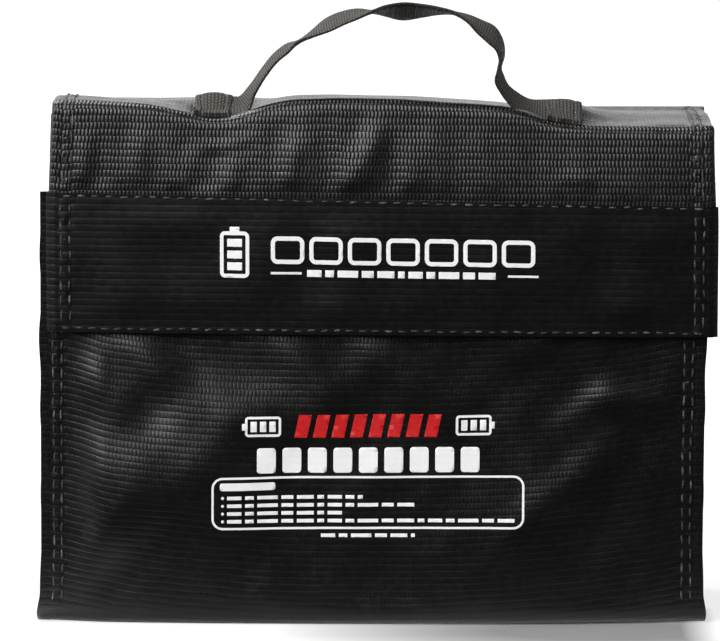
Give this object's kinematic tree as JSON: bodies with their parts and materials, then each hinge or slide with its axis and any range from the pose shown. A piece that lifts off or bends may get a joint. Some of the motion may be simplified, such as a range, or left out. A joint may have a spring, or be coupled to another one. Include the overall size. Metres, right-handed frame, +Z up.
{
  "type": "battery safety bag",
  "caption": "Boxy black safety bag of ribbed coated cloth for battery packs, with a fold-back lid, a front flap closed by hook and loop strips, and a webbing carry handle.",
  "frame": {"origin": "middle of the bag's bottom face, on the surface it stands on", "axes": "+X to the right as seen from the front flap, +Y from the flap to the back, +Z up"},
  "size_m": [0.243, 0.07, 0.2246],
  "materials": {
    "coated_cloth": "satin, ribbed weave under a black plastic coating",
    "lining_cloth": "matt woven glass cloth",
    "binding": "matt grosgrain tape",
    "hook_tape": "matt, stiff hooks",
    "loop_tape": "matt, soft loops",
    "webbing": "matt coarse weave",
    "thread": "satin twisted thread",
    "white_print": "matt screen print",
    "red_print": "matt screen print"
  },
  "bodies": {
    "bag_body": {"front_panel": "coated_cloth", "base_panel": "coated_cloth", "back_panel": "coated_cloth", "left_gusset": "coated_cloth", "right_gusset": "coated_cloth", "front_lining": "lining_cloth", "base_lining": "lining_cloth", "back_lining": "lining_cloth", "left_lining": "lining_cloth", "right_lining": "lining_cloth", "mouth_binding": "binding", "hook_strip": "hook_tape", "left_seam_thread": "thread", "right_seam_thread": "thread", "front_graphic": "white_print", "front_accent": "red_print"},
    "lid": {"lid_panel": "coated_cloth", "lid_lining": "lining_cloth", "lid_edge_thread": "thread", "left_strap_end": "webbing", "right_strap_end": "webbing", "left_bar_tacks": "thread", "right_bar_tacks": "thread"},
    "flap": {"flap_panel": "coated_cloth", "flap_lining": "lining_cloth", "flap_band": "coated_cloth", "loop_strip": "loop_tape", "flap_edge_thread": "thread", "band_thread": "thread", "flap_graphic": "white_print"},
    "handle": {"handle_strap": "webbing"}
  },
  "joints": [
    {"name": "lid_fold", "type": "hinge", "parent": "bag_body", "child": "lid", "pos_m": [0, 0.0327, 0.1805], "axis": [-1, 0, 0], "range_deg": [0, 180]},
    {"name": "flap_lift", "type": "hinge", "parent": "lid", "child": "flap", "pos_m": [0, -0.0361, 0.181], "axis": [-1, 0, 0], "range_deg": [0, 90]},
    {"name": "handle_swing", "type": "hinge", "parent": "lid", "child": "handle", "pos_m": [0, -0.0181, 0.1899], "axis": [-1, 0, 0], "range_deg": [-65, 65]}
  ]
}
